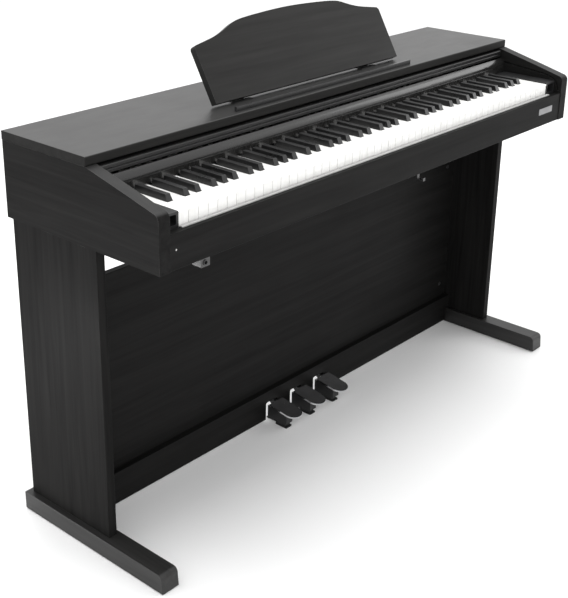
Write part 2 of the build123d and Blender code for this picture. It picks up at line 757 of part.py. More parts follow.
def keybed_board():
    board = block(
        -CHEEK_INNER_X, CHEEK_INNER_X, KEYBED_FRONT_Y, KEYBED_BACK_Y, CABINET_BOTTOM_Z, KEYBED_TOP_Z
    )
    for side in (-1, 1):
        for step in range(SLOT_COUNT):
            offset = (step - (SLOT_COUNT - 1) / 2) * SLOT_PITCH
            half_length = math.sqrt(SLOT_CIRCLE_RADIUS**2 - offset**2)
            centre = side * SPEAKER_X + offset
            board -= block(
                centre - SLOT_WIDTH / 2,
                centre + SLOT_WIDTH / 2,
                SPEAKER_Y - half_length,
                SPEAKER_Y + half_length,
                CABINET_BOTTOM_Z - OVERLAP,
                KEYBED_TOP_Z + OVERLAP,
            )
    for drill in angle_screws("cabinet", SCREW_RADIUS + SCREW_CLEARANCE):
        board -= drill
        board -= mirror_left(drill)
    return board


def cabinet_back():
    board = block(
        -CHEEK_INNER_X, CHEEK_INNER_X, KEYBED_BACK_Y, CABINET_BACK_Y, CABINET_BOTTOM_Z, LID_BOTTOM_Z
    )
    return board - block(*SOCKETS_X, KEYBED_BACK_Y - OVERLAP, CABINET_BACK_Y + OVERLAP, *SOCKETS_Z)


def key_slip():
    slip = block(-CHEEK_INNER_X, CHEEK_INNER_X, SLIP_FRONT_Y, KEYBED_FRONT_Y, CABINET_BOTTOM_Z, SLIP_TOP_Z)
    slip = fillet(edges_along(slip, Axis.X).group_by(Axis.Y)[0], SLIP_EDGE_RADIUS)
    led_back = SLIP_FRONT_Y + LED_LENGTH - LED_PROUD
    return slip - rod_y(LED_RADIUS, SLIP_FRONT_Y - OVERLAP, led_back, LED_X, LED_Z)


def key_slip_felt():
    """Felt strip along the slip's top edge, from one end block to the other."""
    felt = block(-BLOCK_INNER_X, BLOCK_INNER_X, FELT_FRONT_Y, FELT_BACK_Y, SLIP_TOP_Z, FELT_TOP_Z)
    return fillet(edges_along(felt, Axis.X).group_by(Axis.Z)[-1], FELT_RADIUS)


def fascia():
    """Strip behind the keys; its upper part is a forward-leaning curved moulding."""
    face_y = BLOCK_BACK_Y + 1
    nose_y = face_y + FASCIA_STEP
    nose_z = FASCIA_STEP_Z + FASCIA_STEP
    lines = [
        Polyline(
            (MOULDING_TOP_Y, MOULDING_TOP_Z),
            (FASCIA_BACK_Y, MOULDING_TOP_Z),
            (FASCIA_BACK_Y, FASCIA_BOTTOM_Z),
            (face_y, FASCIA_BOTTOM_Z),
            (face_y, FASCIA_STEP_Z),
            (nose_y, FASCIA_STEP_Z),
            (nose_y, nose_z),
        ),
        Bezier((nose_y, nose_z), (nose_y, (nose_z + MOULDING_TOP_Z) / 2), (MOULDING_TOP_Y, MOULDING_TOP_Z)),
    ]
    outline = make_face(Curve() + lines)
    return extrude(Plane.YZ.offset(-CHEEK_INNER_X) * outline, 2 * CHEEK_INNER_X)


def key_block():
    """Right end block with the control recess in its front face."""
    body = block(BLOCK_INNER_X, CHEEK_INNER_X, BLOCK_FRONT_Y, BLOCK_BACK_Y, FRAME_FENCE_TOP_Z, BLOCK_TOP_Z)
    body = fillet(edges_along(body, Axis.X).group_by(Axis.Z)[-1].sort_by(Axis.Y)[0], BLOCK_EDGE_RADIUS)
    recess = block(
        RECESS_INNER_X,
        RECESS_OUTER_X,
        BLOCK_FRONT_Y - OVERLAP,
        BLOCK_FRONT_Y + RECESS_DEPTH,
        RECESS_BOTTOM_Z,
        RECESS_TOP_Z,
    )
    recess = fillet(edges_along(recess, Axis.Y), RECESS_CORNER_RADIUS)
    pedestal = block(
        BLOCK_INNER_X + PEDESTAL_INSET,
        CHEEK_INNER_X,
        BLOCK_FRONT_Y,
        BLOCK_BACK_Y,
        KEYBED_TOP_Z,
        FRAME_FENCE_TOP_Z,
    )
    return body + pedestal - recess


def build_cabinet():
    right_cheek = cheek()
    end_block = key_block()
    bore_front = RECESS_BACK_Y - OVERLAP
    button_end = RECESS_BACK_Y + BUTTON_BORE_DEPTH
    shaft_end = RECESS_BACK_Y + KNOB_SHAFT_LENGTH + OVERLAP
    button_bore = rod_y(BUTTON_RADIUS + BUTTON_GAP, bore_front, button_end, CONTROL_X, CONTROL_Z)
    shaft_bore = rod_y(KNOB_SHAFT_RADIUS + PIVOT_FIT, bore_front, shaft_end, -CONTROL_X, CONTROL_Z)
    return {
        "keybed_board": keybed_board(),
        "left_cheek": mirror_left(right_cheek),
        "right_cheek": right_cheek,
        "cabinet_back": cabinet_back(),
        "top_lid": top_lid(),
        "key_slip": key_slip(),
        "key_slip_felt": key_slip_felt(),
        "left_key_block": mirror_left(end_block) - shaft_bore,
        "right_key_block": end_block - button_bore,
        "fascia": fascia(),
    }


# ---------------------------------------------------------------- controls and sockets
def power_button():
    front = RECESS_BACK_Y - BUTTON_PROUD
    button = rod_y(BUTTON_RADIUS, front, front + BUTTON_LENGTH, CONTROL_X, CONTROL_Z)
    return fillet(button.edges().sort_by(Axis.Y)[0], BUTTON_EDGE_RADIUS)


def volume_knob():
    back = RECESS_BACK_Y - KNOB_SETBACK
    front = back - KNOB_LENGTH
    shaft_end = RECESS_BACK_Y + KNOB_SHAFT_LENGTH
    knob = rod_y(KNOB_RADIUS, front, back, -CONTROL_X, CONTROL_Z)
    knob = fillet(knob.edges().sort_by(Axis.Y)[0], BUTTON_EDGE_RADIUS)
    half = KNOB_MARK_WIDTH / 2
    knob -= block(
        -CONTROL_X - half,
        -CONTROL_X + half,
        front - OVERLAP,
        front + KNOB_MARK_DEPTH,
        CONTROL_Z,
        CONTROL_Z + KNOB_RADIUS + OVERLAP,
    )
    return knob + rod_y(KNOB_SHAFT_RADIUS, back, shaft_end, -CONTROL_X, CONTROL_Z)


def headphone_box():
    """Small box under the slip with one socket in its front face."""
    body = block(*PHONES_X, PHONES_FRONT_Y, PHONES_BACK_Y, PHONES_BOTTOM_Z, CABINET_BOTTOM_Z)
    body = fillet(edges_along(body, Axis.Y).group_by(Axis.Z)[0], PHONES_RADIUS)
    collar_front = PHONES_FRONT_Y - JACK_COLLAR_HEIGHT
    x = (PHONES_X[0] + PHONES_X[1]) / 2
    body += rod_y(JACK_COLLAR_RADIUS, collar_front, PHONES_FRONT_Y + OVERLAP, x, PHONES_JACK_Z)
    return body - rod_y(JACK_RADIUS, collar_front - OVERLAP, collar_front + JACK_DEPTH, x, PHONES_JACK_Z)


def headphone_hook():
    t = HOOK_THICKNESS
    points = (
        (HOOK_BACK_Y, CABINET_BOTTOM_Z),
        (HOOK_BACK_Y, HOOK_BOTTOM_Z),
        (HOOK_FRONT_Y, HOOK_BOTTOM_Z),
        (HOOK_FRONT_Y, HOOK_LIP_Z),
        (HOOK_FRONT_Y + t, HOOK_LIP_Z),
        (HOOK_FRONT_Y + t, HOOK_BOTTOM_Z + t),
        (HOOK_BACK_Y - t, HOOK_BOTTOM_Z + t),
        (HOOK_BACK_Y - t, CABINET_BOTTOM_Z - t),
        (HOOK_FRONT_Y + 2 * t, CABINET_BOTTOM_Z - t),
        (HOOK_FRONT_Y + 2 * t, CABINET_BOTTOM_Z),
    )
    return slab_x(points, *HOOK_X)


def rear_jack_panel():
    panel = block(*SOCKETS_X, KEYBED_BACK_Y, SOCKETS_FACE_Y, *SOCKETS_Z)
    face = SOCKETS_FACE_Y
    panel -= rod_y(INLET_RADIUS, face - INLET_DEPTH, face + OVERLAP, INLET_X, SOCKET_Z)
    for x in LINE_OUT_X:
        panel -= rod_y(JACK_RADIUS, face - LINE_OUT_DEPTH, face + OVERLAP, x, SOCKET_Z)
    half = DATA_SOCKET_SIZE / 2
    panel -= block(
        DATA_SOCKET_X - half,
        DATA_SOCKET_X + half,
        face - DATA_SOCKET_DEPTH,
        face + OVERLAP,
        SOCKET_Z - half,
        SOCKET_Z + half,
    )
    return panel


def build_controls():
    led_front = SLIP_FRONT_Y - LED_PROUD
    return {
        "power_button": power_button(),
        "volume_knob": volume_knob(),
        "power_led": rod_y(LED_RADIUS, led_front, led_front + LED_LENGTH, LED_X, LED_Z),
        "badge_plate": block(*BADGE_X, SLIP_FRONT_Y - BADGE_THICKNESS, SLIP_FRONT_Y, *BADGE_Z),
        "headphone_box": headphone_box(),
        "headphone_hook": headphone_hook(),
        "rear_jack_panel": rear_jack_panel(),
    }


# ---------------------------------------------------------------- key cover
def cover_rod_hole():
    reach = COVER_HALF_WIDTH + SHOE_REACH
    return rod_x(COVER_ROD_RADIUS + PIVOT_FIT, -reach, reach, COVER_HINGE_Y, COVER_HINGE_Z)


def key_cover():
    """Sliding panel with hinge knuckles on its rear edge."""
    half = COVER_THICKNESS / 2
    rear = COVER_HINGE_Y - COVER_HINGE_SETBACK
    panel = block(
        -COVER_HALF_WIDTH, COVER_HALF_WIDTH, HANDLE_BACK_Y, rear, COVER_HINGE_Z - half, COVER_HINGE_Z + half
    )
    for x in COVER_KNUCKLE_X:
        x0, x1 = x - COVER_KNUCKLE_WIDTH / 2, x + COVER_KNUCKLE_WIDTH / 2
        panel += rod_x(COVER_KNUCKLE_RADIUS, x0, x1, COVER_HINGE_Y, COVER_HINGE_Z)
        panel += block(x0, x1, rear - OVERLAP, COVER_HINGE_Y, COVER_HINGE_Z - half, COVER_HINGE_Z + half)
    return panel - cover_rod_hole()


def cover_handle():
    """Front strip of the cover: two rounded ridges with a thin groove between."""
    top = COVER_HINGE_Z + COVER_THICKNESS / 2
    body = block(-COVER_HALF_WIDTH, COVER_HALF_WIDTH, HANDLE_FRONT_Y, HANDLE_BACK_Y, HANDLE_BOTTOM_Z, top)
    body -= block(
        -COVER_HALF_WIDTH - OVERLAP,
        COVER_HALF_WIDTH + OVERLAP,
        HANDLE_FRONT_Y - OVERLAP,
        HANDLE_FRONT_Y + HANDLE_GROOVE + OVERLAP,
        HANDLE_GROOVE_Z - HANDLE_GROOVE / 2,
        HANDLE_GROOVE_Z + HANDLE_GROOVE / 2,
    )
    front_edges = edges_along(body, Axis.X).group_by(Axis.Y)[0]
    return fillet(front_edges, HANDLE_RADIUS)


def cover_carriage():
    """Cross bar behind the cover with end shoes in the cheek slots, and the hinge rod."""
    front = COVER_HINGE_Y + CARRIAGE_FRONT_GAP
    half = CARRIAGE_HEIGHT / 2
    bar = block(
        -COVER_HALF_WIDTH,
        COVER_HALF_WIDTH,
        front,
        front + CARRIAGE_DEPTH,
        COVER_HINGE_Z - half,
        COVER_HINGE_Z + half,
    )
    for x in COVER_KNUCKLE_X:
        for side in (-1, 1):
            near = x + side * (COVER_KNUCKLE_WIDTH / 2 + COVER_KNUCKLE_GAP)
            far = near + side * COVER_KNUCKLE_WIDTH / 2
            x0, x1 = min(near, far), max(near, far)
            bar += rod_x(COVER_KNUCKLE_RADIUS, x0, x1, COVER_HINGE_Y, COVER_HINGE_Z)
            bar += block(x0, x1, COVER_HINGE_Y, front + OVERLAP, COVER_HINGE_Z - half, COVER_HINGE_Z + half)
    shoe_half = SHOE_HEIGHT / 2
    for side in (-1, 1):
        bar += block(
            side * (COVER_HALF_WIDTH - SHOE_ROOT),
            side * (CHEEK_INNER_X + SHOE_REACH),
            front - SHOE_LEAD,
            front - SHOE_LEAD + SHOE_LENGTH,
            COVER_HINGE_Z - shoe_half,
            COVER_HINGE_Z + shoe_half,
        )
    bar -= cover_rod_hole()
    rods = []
    for x in COVER_KNUCKLE_X:
        reach = COVER_KNUCKLE_WIDTH + COVER_KNUCKLE_GAP
        rods.append(rod_x(COVER_ROD_RADIUS, x - reach, x + reach, COVER_HINGE_Y, COVER_HINGE_Z))
    return gather(bar, *rods)


def build_cover():
    return {
        "cover_carriage": cover_carriage(),
        "key_cover": key_cover(),
        "cover_handle": cover_handle(),
    }


# ---------------------------------------------------------------- keyboard
def natural_left(index):
    return KEYS_LEFT_X + index * NATURAL_PITCH


def letter(index):
    return NATURAL_LETTERS[index % len(NATURAL_LETTERS)]


def sharp_left(index):
    """Left side of the sharp that follows natural number index, or None."""
    if letter(index) not in SHARP_OFFSET or not 0 <= index < NATURAL_COUNT - 1:
        return None
    return natural_left(index) + SHARP_OFFSET[letter(index)]


def key_bore():
    """Running hole for the hinge rod that every key turns on."""
    reach = FRAME_HALF_WIDTH + OVERLAP
    return rod_x(KEY_ROD_RADIUS + PIVOT_FIT, -reach, reach, KEY_HINGE_Y, KEY_HINGE_Z)


def natural_key(index):
    x0 = natural_left(index) + NATURAL_GAP / 2
    x1 = x0 + NATURAL_PITCH - NATURAL_GAP
    before, after = sharp_left(index - 1), sharp_left(index)
    tail0 = x0 if before is None else before + SHARP_WIDTH + SHARP_GAP
    tail1 = x1 if after is None else after - SHARP_GAP
    key = block(tail0, tail1, HEAD_REAR_Y - OVERLAP, KEY_REAR_Y, KEY_BOTTOM_Z, KEY_TOP_Z)
    head = block(x0, x1, KEY_FRONT_Y, HEAD_REAR_Y, KEY_BOTTOM_Z, KEY_TOP_Z)
    head = fillet(edges_along(head, Axis.X).group_by(Axis.Z)[-1].sort_by(Axis.Y)[0], KEY_EDGE_RADIUS)
    key += head
    face_y = KEY_FRONT_Y + KEY_LIP
    under_lip = KEY_TOP_Z - KEY_LIP_HEIGHT
    key -= block(x0 - OVERLAP, x1 + OVERLAP, KEY_FRONT_Y - OVERLAP, face_y, 0, under_lip)
    key += block(x0, x1, face_y, face_y + KEY_APRON_THICKNESS, KEY_APRON_BOTTOM_Z, KEY_BOTTOM_Z + OVERLAP)
    return key - key_bore()


def sharp_key(index):
    x0 = sharp_left(index)
    x1 = x0 + SHARP_WIDTH
    body = block(x0, x1, SHARP_FRONT_Y, KEY_REAR_Y, KEY_BOTTOM_Z, SHARP_BODY_TOP_Z)
    side = slab_x(
        (
            (SHARP_FRONT_Y, SHARP_BODY_TOP_Z),
            (SHARP_FRONT_Y + SHARP_FRONT_RUN, SHARP_TOP_Z),
            (SHARP_REAR_Y, SHARP_TOP_Z),
            (SHARP_REAR_Y, SHARP_BODY_TOP_Z),
        ),
        x0,
        x1,
    )
    taper = SHARP_SIDE_TAPER
    end = make_face(
        Polyline(
            (x0, -SHARP_BODY_TOP_Z),
            (x0 + taper, -SHARP_TOP_Z),
            (x1 - taper, -SHARP_TOP_Z),
            (x1, -SHARP_BODY_TOP_Z),
            close=True,
        )
    )
    front_plane = Plane(origin=(0, SHARP_FRONT_Y, 0), x_dir=(1, 0, 0), z_dir=(0, 1, 0))
    prism = extrude(front_plane * end, SHARP_REAR_Y - SHARP_FRONT_Y)
    cap = side & prism
    cap = fillet(cap.faces().sort_by(Axis.Z)[-1].edges(), SHARP_EDGE_RADIUS)
    return body + cap - key_bore()


def octave_key_names():
    """Node names of the middle octave: natural index and kind for each key."""
    names = {}
    for index in range(MIDDLE_OCTAVE_START, MIDDLE_OCTAVE_START + len(NATURAL_LETTERS)):
        note = letter(index).lower()
        names[f"key_{note}{MIDDLE_OCTAVE}"] = (index, natural_key)
        if sharp_left(index) is not None:
            names[f"key_{note}_sharp{MIDDLE_OCTAVE}"] = (index, sharp_key)
    return names


def key_frame():
    """Folded steel chassis with end cheeks, plus the long hinge rod through every key."""
    sheet = FRAME_SHEET
    half = FRAME_HALF_WIDTH
    base = KEYBED_TOP_Z
    frame = block(-half, half, FRAME_FRONT_Y, FRAME_BACK_Y, base, base + sheet)
    frame += block(-half, half, FRAME_FRONT_Y, FRAME_FRONT_Y + sheet, base, FRAME_FENCE_TOP_Z)
    fence_back = FRAME_FRONT_Y + FRAME_FENCE_DEPTH
    frame += block(-half, half, FRAME_FRONT_Y, fence_back, FRAME_FENCE_TOP_Z - sheet, FRAME_FENCE_TOP_Z)
    for y in (FRAME_SHELF_FRONT_Y, FRAME_SHELF_BACK_Y - sheet):
        frame += block(-half, half, y, y + sheet, base, FRAME_SHELF_TOP_Z)
    frame += block(
        -half, half, FRAME_SHELF_FRONT_Y, FRAME_SHELF_BACK_Y, FRAME_SHELF_TOP_Z - sheet, FRAME_SHELF_TOP_Z
    )
    for side in (-1, 1):
        frame += block(
            side * FRAME_CHEEK_INNER_X,
            side * half,
            FRAME_CHEEK_FRONT_Y,
            FRAME_BACK_Y,
            base,
            FRAME_CHEEK_TOP_Z,
        )
    frame -= key_bore()
    return gather(frame, rod_x(KEY_ROD_RADIUS, -half, half, KEY_HINGE_Y, KEY_HINGE_Z))


def build_keyboard():
    parts = {"key_frame": key_frame()}
    for name, (index, make) in octave_key_names().items():
        parts[name] = make(index)
    treble_start = MIDDLE_OCTAVE_START + len(NATURAL_LETTERS)
    groups = {"bass": range(MIDDLE_OCTAVE_START), "treble": range(treble_start, NATURAL_COUNT)}
    for group, span in groups.items():
        sharps = [index for index in span if sharp_left(index) is not None]
        parts[group + "_naturals"] = gather(*[natural_key(index) for index in span])
        parts[group + "_sharps"] = gather(*[sharp_key(index) for index in sharps])
    return parts


# ---------------------------------------------------------------- speakers and boards
def speaker(x):
    """Round driver facing down through the keybed slots."""
    z0 = KEYBED_TOP_Z
    wall = SPEAKER_WALL
    outline = Polyline(
        (SPEAKER_RADIUS, z0),
        (SPEAKER_RADIUS, z0 + SPEAKER_FLANGE),
        (SPEAKER_CONE_RADIUS + 2 * wall, z0 + SPEAKER_FLANGE),
        (SPEAKER_NECK_RADIUS + wall, SPEAKER_NECK_Z),
        (SPEAKER_MAGNET_RADIUS, SPEAKER_NECK_Z),
        (SPEAKER_MAGNET_RADIUS, SPEAKER_TOP_Z),
        (0, SPEAKER_TOP_Z),
        (0, SPEAKER_NECK_Z - wall),
        (SPEAKER_NECK_RADIUS / 2, SPEAKER_NECK_Z - wall),
        (SPEAKER_CONE_RADIUS, z0 + SPEAKER_FLANGE),
        (SPEAKER_CONE_RADIUS + wall, z0),
        close=True,
    )
    driver = revolve(Plane.XZ * make_face(outline), Axis.Z)
    return Pos(x, SPEAKER_Y, 0) * driver


def circuit_boards():
    z0, z1 = MAIN_PCB_Z, MAIN_PCB_Z + PCB_THICKNESS
    main = block(*MAIN_PCB_X, *MAIN_PCB_Y, z0, z1)
    for x in (MAIN_PCB_X[0] + STANDOFF_INSET, MAIN_PCB_X[1] - STANDOFF_INSET):
        for y in (MAIN_PCB_Y[0] + STANDOFF_INSET, MAIN_PCB_Y[1] - STANDOFF_INSET):
            main += rod_z(STANDOFF_RADIUS, KEYBED_TOP_Z, z0, x, y)
    for x, y, width, depth, height in CHIP_LAYOUT:
        main += block(x, x + width, y, y + depth, z1, z1 + height)
    z2 = FRAME_SHELF_TOP_Z
    contacts = block(-CONTACT_PCB_HALF_X, CONTACT_PCB_HALF_X, *CONTACT_PCB_Y, z2, z2 + PCB_THICKNESS)
    strip_y = (CONTACT_PCB_Y[0] + CONTACT_PCB_Y[1]) / 2
    contacts += block(
        -CONTACT_PCB_HALF_X,
        CONTACT_PCB_HALF_X,
        strip_y - CONTACT_DOME_RADIUS,
        strip_y + CONTACT_DOME_RADIUS,
        z2 + PCB_THICKNESS,
        z2 + PCB_THICKNESS + CONTACT_DOME_HEIGHT,
    )
    return gather(main, contacts)


def build_electronics():
    return {
        "circuit_boards": circuit_boards(),
        "speakers": gather(speaker(-SPEAKER_X), speaker(SPEAKER_X)),
    }


# ---------------------------------------------------------------- music rest
def rest_plane(depth):
    """Plane on the rest's front face, moved back by depth; local Y runs up the board."""
    tilt = math.radians(REST_TILT)
    normal = (0, -math.cos(tilt), math.sin(tilt))
    return Plane(origin=(0, REST_BASE_Y, REST_BASE_Z), x_dir=(1, 0, 0), z_dir=normal).offset(-depth)


def music_rest():
    """Board with square sides, soft corners and a raised middle with S-shaped shoulders."""
    half = REST_HALF_WIDTH
    corner_mid, corner_end = REST_CORNER
    left_mid = (-corner_mid[0], corner_mid[1])
    left_end = (-corner_end[0], corner_end[1])
    right = [corner_end, *REST_CREST]
    left = [(-x, z) for x, z in right]
    crest = Spline(*left, (0, REST_CREST_TOP), *right[::-1])
    lines = [
        Line((-half, 0), (half, 0)),
        Line((half, 0), (half, REST_SIDE_HEIGHT)),
        ThreePointArc((half, REST_SIDE_HEIGHT), corner_mid, corner_end),
        crest,
        ThreePointArc(left_end, left_mid, (-half, REST_SIDE_HEIGHT)),
        Line((-half, REST_SIDE_HEIGHT), (-half, 0)),
    ]
    outline = make_face(Curve() + lines)
    return extrude(rest_plane(REST_THICKNESS) * outline, REST_THICKNESS)


def rest_screw_places():
    return [(x + REST_SCREW_OFFSET_X, y) for x in REST_HINGE_X for y in REST_SCREW_Y]


def rest_hinge_arm(x):
    """Plate on the back of the rest with a barrel round the pin."""
    span = (REST_ARM_LOW + REST_ARM_HIGH) / 2
    plate = Pos(x, span) * Rectangle(REST_PLATE_WIDTH, REST_ARM_HIGH - REST_ARM_LOW)
    arm = extrude(rest_plane(REST_THICKNESS + REST_PLATE_THICKNESS) * plate, REST_PLATE_THICKNESS)
    neck = Pos(x, REST_ARM_LOW - REST_NECK_DROP) * Rectangle(REST_BARREL_LENGTH, REST_NECK_LENGTH)
    arm += extrude(rest_plane(REST_THICKNESS + REST_PLATE_THICKNESS) * neck, REST_PLATE_THICKNESS)
    half = REST_BARREL_LENGTH / 2
    arm += rod_x(REST_BARREL_RADIUS, x - half, x + half, REST_HINGE_Y, REST_HINGE_Z)
    reach = half + OVERLAP
    return arm - rod_x(REST_PIN_RADIUS + PIVOT_FIT, x - reach, x + reach, REST_HINGE_Y, REST_HINGE_Z)


def rest_hinge_base(x):
    """Base plate with two ears, its pin and its two screws."""
    top = LID_TOP_Z + REST_PLATE_THICKNESS
    half = REST_PLATE_WIDTH / 2
    base = block(x - half, x + half, *REST_PLATE_Y, LID_TOP_Z, top)
    inner = REST_BARREL_LENGTH / 2 + REST_EAR_GAP
    outer = inner + REST_EAR_THICKNESS
    for side in (-1, 1):
        x0, x1 = x + side * inner, x + side * outer
        base += rod_x(REST_BARREL_RADIUS, x0, x1, REST_HINGE_Y, REST_HINGE_Z)
        ear_front = REST_HINGE_Y - REST_BARREL_RADIUS
        ear_back = REST_HINGE_Y + REST_BARREL_RADIUS
        base += block(x0, x1, ear_front, ear_back, top - OVERLAP, REST_HINGE_Z)
    reach = outer + OVERLAP
    base -= rod_x(REST_PIN_RADIUS + PIVOT_FIT, x - reach, x + reach, REST_HINGE_Y, REST_HINGE_Z)
    pieces = [rod_x(REST_PIN_RADIUS, x - outer, x + outer, REST_HINGE_Y, REST_HINGE_Z)]
    for y in REST_SCREW_Y:
        screw_x = x + REST_SCREW_OFFSET_X
        base -= rod_z(REST_SCREW_RADIUS + SCREW_CLEARANCE, LID_TOP_Z - OVERLAP, top + OVERLAP, screw_x, y)
        shank = rod_z(REST_SCREW_RADIUS, top - REST_SCREW_LENGTH, top, screw_x, y)
        head = rod_z(REST_SCREW_HEAD_RADIUS, top, top + REST_SCREW_HEAD_HEIGHT, screw_x, y)
        pieces.append(shank + head)
    return gather(base, *pieces)


def build_music_rest():
    ledge = block(-LEDGE_HALF_WIDTH, LEDGE_HALF_WIDTH, LEDGE_FRONT_Y, LEDGE_BACK_Y, LID_TOP_Z, LEDGE_TOP_Z)
    ledge = fillet(edges_along(ledge, Axis.X).group_by(Axis.Z)[-1], LEDGE_RADIUS)
    return {
        "music_rest": music_rest(),
        "music_ledge": ledge,
        "rest_hinge_arms": gather(*[rest_hinge_arm(x) for x in REST_HINGE_X]),
        "rest_hinge_bases": gather(*[rest_hinge_base(x) for x in REST_HINGE_X]),
    }


# ---------------------------------------------------------------- export
def build_all():
    parts = {}
    builders = (
        build_stand,
        build_pedals,
        build_cabinet,
        build_controls,
        build_cover,
        build_keyboard,
        build_electronics,
        build_music_rest,
    )
    for builder in builders:
        parts.update(builder())
    return parts


os.makedirs("parts", exist_ok=True)
for node, shape in build_all().items():
    export_step(shape, f"parts/{node}.step")
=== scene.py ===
import bpy
import bmesh
import math
from mathutils import Matrix, Vector


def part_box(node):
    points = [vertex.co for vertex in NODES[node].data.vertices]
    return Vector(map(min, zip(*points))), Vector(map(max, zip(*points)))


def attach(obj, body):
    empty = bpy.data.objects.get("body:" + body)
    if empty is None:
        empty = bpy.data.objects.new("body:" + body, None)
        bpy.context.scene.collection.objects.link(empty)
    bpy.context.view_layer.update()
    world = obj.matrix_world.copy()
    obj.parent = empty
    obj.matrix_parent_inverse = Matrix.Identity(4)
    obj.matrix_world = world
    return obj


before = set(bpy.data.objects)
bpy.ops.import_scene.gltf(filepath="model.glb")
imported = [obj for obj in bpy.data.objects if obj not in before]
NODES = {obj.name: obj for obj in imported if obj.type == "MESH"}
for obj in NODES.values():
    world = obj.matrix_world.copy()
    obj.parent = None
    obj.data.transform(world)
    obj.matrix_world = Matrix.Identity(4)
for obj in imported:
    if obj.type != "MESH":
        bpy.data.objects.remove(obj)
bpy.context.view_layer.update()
ROOT = "cabinet_and_stand"

# Camera of the photograph: yaw, pitch and roll in degrees, lens in mm, shift in sensor widths.
CAMERA_PLACE = (-1.85085, -1.48436, 1.38293)
CAMERA_TURN = (48.17, -21.52, 0.59)
CAMERA_LENS = 69.22
CAMERA_SENSOR = 36.0
CAMERA_SHIFT = (0.0347, -0.1003)

# Foil colours (dark fibre, light fibre) and the satin black of the smooth boards. The middle foil is the
# foil's own colour; the first is a darker copy of it with painted shade and the third a paler copy with
# painted light.
# Darker copy of the black foil: painted shade on the back panel, pedal rail, keybed, cabinet back and key
# slip.
PAINTED_SHADE_FOIL = ((0.004, 0.0039, 0.0038), (0.010, 0.0098, 0.0095))
BLACK_FOIL = ((0.006, 0.0059, 0.0058), (0.015, 0.0147, 0.0143))
# Paler copy of the black foil: painted light on the feet.
PAINTED_LIGHT_FOIL = ((0.010, 0.0098, 0.0095), (0.026, 0.0255, 0.025))
SATIN_BLACK = (0.012, 0.0118, 0.0115)

# Width of the softened edge of each finish, in metres.
EDGE_ROUNDING = {
    "painted_shade_veneer_x": 0.0008,
    "veneer_y": 0.0009,
    "veneer_z": 0.0006,
    "painted_light_veneer_foot": 0.0009,
    "rest": 0.0012,
    "lid": 0.0006,
    "white_key": 0.0005,
    "plastic": 0.0004,
    "ridge": 0.0004,
    "gloss": 0.0006,
    "plate": 0.0002,
}
EDGE_ANGLE = math.radians(50)
SMOOTH_ANGLE = math.radians(35)

# Detail pieces, in metres. A turned end narrower than CLOSED_RADIUS is closed.
LATHE_STEPS = 40
DOME_STEPS = 6
CLOSED_RADIUS = 0.0004
RECESS_RISE = 0.00006
CAP_INSET_X = 0.028
CAP_INSET_Z = 0.06
HINGE_X = 0.205
HINGE_SCREW_Y = (0.005, 0.0265)
HINGE_PLATE = 0.0015
HINGE_SCREW_HEAD = 0.0012
HEADPHONE_JACK_Z = 0.6245
REAR_JACK_Z = 0.675
LINE_OUT_X = (-0.385, -0.362)
POWER_INLET_X = -0.412
REST_TILT = math.radians(30.0)
REST_HINGE = (0, 0.0318, 0.808)
REST_THICKNESS = 0.014
BUMPER_X = 0.25
BUMPER_HEIGHT = 0.108
SPEAKER_X = 0.43

# Studio. The surround is brightest where its direction agrees with WORLD_FACING.
WORLD_DIM = 0.95
WORLD_BRIGHT = 1.25
WORLD_FACING = (0.68, 0.68, 0.28)
FLOOR_SIZE = 9.0
# Softboxes: name, place, target, size in metres, watts.
SOFTBOXES = (
    ("overhead_softbox", (0.0, 0.4, 3.6), (0.0, 0.0, 0.0), (4.0, 3.0), 90.0),
    ("key_softbox", (-1.6, -3.2, 2.6), (0.0, 0.0, 0.6), (1.6, 1.2), 24.0),
    ("treble_fill", (3.4, -1.6, 1.8), (0.2, 0.0, 0.5), (1.4, 1.4), 14.0),
    ("low_bounce", (-1.35, 0.5, 0.08), (-0.68, 0.0, 0.06), (0.7, 0.1), 3.0),
)


# ------------------------------------------------------------------ camera
def add_camera():
    yaw, pitch, roll = (math.radians(angle) for angle in CAMERA_TURN)
    forward = Vector((math.sin(yaw) * math.cos(pitch), math.cos(yaw) * math.cos(pitch), math.sin(pitch)))
    right = Vector((math.cos(yaw), -math.sin(yaw), 0.0))
    up = right.cross(forward)
    right, up = (
        right * math.cos(roll) + up * math.sin(roll),
        up * math.cos(roll) - right * math.sin(roll),
    )
    data = bpy.data.cameras.new("photo_camera")
    data.lens = CAMERA_LENS
    data.sensor_width = CAMERA_SENSOR
    data.shift_x, data.shift_y = CAMERA_SHIFT
    data.dof.use_dof = False
    camera = bpy.data.objects.new("photo_camera", data)
    matrix = Matrix((right, up, -forward)).transposed().to_4x4()
    matrix.translation = Vector(CAMERA_PLACE)
    camera.matrix_world = matrix
    bpy.context.scene.collection.objects.link(camera)
    bpy.context.scene.camera = camera


# ------------------------------------------------------------------ node helpers
def new_material(name, roughness=0.5, metallic=0.0, specular=0.5, coat=0.0, coat_roughness=0.05, sheen=0.0):
    mat = bpy.data.materials.new(name)
    mat.use_nodes = True
    shader = mat.node_tree.nodes["Principled BSDF"]
    shader.inputs["Roughness"].default_value = roughness
    shader.inputs["Metallic"].default_value = metallic
    shader.inputs["Specular IOR Level"].default_value = specular
    shader.inputs["Coat Weight"].default_value = coat
    shader.inputs["Coat Roughness"].default_value = coat_roughness
    shader.inputs["Sheen Weight"].default_value = sheen
    return mat, mat.node_tree, shader


def add_node(tree, kind, settings=None, **values):
    made = tree.nodes.new(kind)
    for key, value in (settings or {}).items():
        setattr(made, key, value)
    for key, value in values.items():
        made.inputs[key.replace("_", " ")].default_value = value
    return made


def coordinates(tree, scale=(1, 1, 1)):
    """Object coordinates in metres, scaled less along one axis for a grain."""
    source = add_node(tree, "ShaderNodeTexCoord")
    mapping = add_node(tree, "ShaderNodeMapping", Scale=scale)
    tree.links.new(source.outputs["Object"], mapping.inputs["Vector"])
    return mapping.outputs["Vector"]


